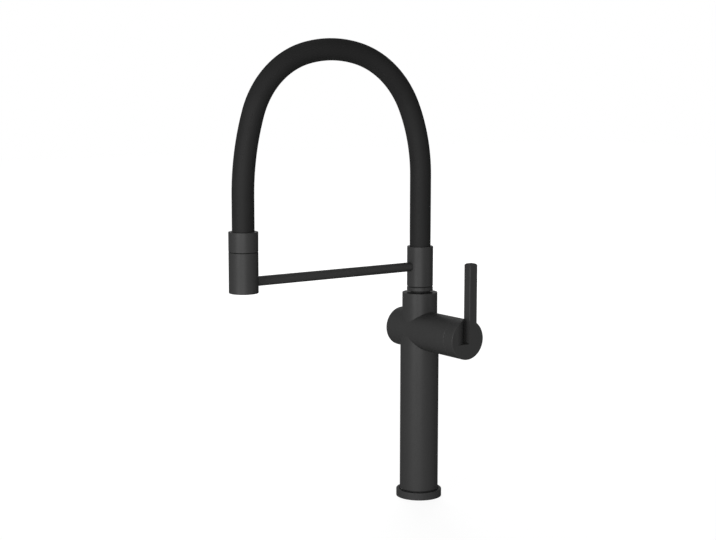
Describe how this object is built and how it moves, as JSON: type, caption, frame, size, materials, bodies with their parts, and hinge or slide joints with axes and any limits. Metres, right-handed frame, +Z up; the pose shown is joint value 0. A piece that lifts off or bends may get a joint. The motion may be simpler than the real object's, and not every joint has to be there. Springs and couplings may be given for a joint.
{
  "type": "low-pressure kitchen faucet",
  "caption": "Matt black deck-mounted mixer tap for an open water heater, with a side lever, an arched flexible hose and a magnetically docked pull-off head.",
  "frame": {"origin": "on the column's axis in the worktop plane, at the mouth of the fixing stud's hole", "axes": "+Z up along the column, -Y towards the user and the docked head, +X towards the side lever"},
  "size_m": [0.1155, 0.2651, 0.5015],
  "materials": {
    "black_finish": "matt black powder coat on brass",
    "hose_rubber": "smooth matt silicone",
    "seal_rubber": "moulded rubber",
    "brass": "turned, uncoated",
    "steel": "bright stainless steel",
    "ceramic": "lapped alumina",
    "grey_plastic": "moulded plastic",
    "black_plastic": "black slide plastic",
    "white_plastic": "moulded plastic",
    "inner_hose": "smooth extruded hose"
  },
  "bodies": {
    "tap_body": {"base_ring": "black_finish", "base_gasket": "seal_rubber", "foot_plug": "brass", "column_tube": "black_finish", "foot_seal": "seal_rubber", "valve_body": "black_finish", "back_seal": "seal_rubber", "back_cap": "black_finish", "cartridge_seal": "seal_rubber", "cartridge_base": "grey_plastic", "fixed_disc": "ceramic", "cartridge_housing": "grey_plastic", "cartridge_nut": "black_finish", "swivel_post": "brass", "swivel_orings": "seal_rubber", "slide_washer": "black_plastic", "glide_ring": "black_finish", "glide_washer": "black_plastic"},
    "mixer_stem": {"stem_holder": "white_plastic", "pivot_pin": "steel"},
    "mixer_disc": {"moving_disc": "ceramic", "disc_carrier": "white_plastic"},
    "lever": {"handle_lever": "black_finish", "handle_screw": "steel", "cartridge_stem": "steel"},
    "spout": {"spout_collar": "black_finish", "collar_screw": "steel", "collar_hose_tail": "brass", "support_arm": "black_finish", "arm_tip": "black_finish", "dock_magnet": "steel", "hose_sleeve": "hose_rubber", "support_spring": "steel", "inner_hose": "inner_hose"},
    "head_top": {"head_hose_tail": "brass", "head_connector": "black_finish", "head_oring": "seal_rubber", "head_clip": "steel"},
    "spray_head": {"head_body": "black_finish", "dock_ring": "steel", "flow_insert": "grey_plastic", "nozzle_plate": "grey_plastic", "nozzle_ring": "black_finish"}
  },
  "joints": [
    {"name": "temperature_turn", "type": "hinge", "parent": "tap_body", "child": "mixer_stem", "pos_m": [0.0441, 0, 0.1865], "axis": [1, 0, 0], "range_deg": [-45, 45]},
    {"name": "flow_tilt", "type": "hinge", "parent": "mixer_stem", "child": "lever", "pos_m": [0.0441, 0, 0.1865], "axis": [0, 1, 0], "range_deg": [0, 22]},
    {"name": "disc_slide", "type": "slide", "parent": "mixer_stem", "child": "mixer_disc", "axis": [0, 0, 1], "range_m": [0, 0.00298]},
    {"name": "spout_swivel", "type": "hinge", "parent": "tap_body", "child": "spout", "pos_m": [0, 0, 0.2352], "axis": [0, 0, 1], "range_deg": [-180, 80]},
    {"name": "hose_swing", "type": "hinge", "parent": "spout", "child": "head_top", "pos_m": [0, -0.1125, 0.478], "axis": [-1, 0, 0], "range_deg": [0, 30], "deforming": ["hose_sleeve", "support_spring", "inner_hose"]},
    {"name": "head_twist", "type": "hinge", "parent": "head_top", "child": "spray_head", "pos_m": [0, -0.225, 0.288], "axis": [0, 0, 1], "continuous": true}
  ],
  "couplings": [
    {"joint": "disc_slide", "follows": "flow_tilt", "m_per_rad": 0.0077521}
  ]
}
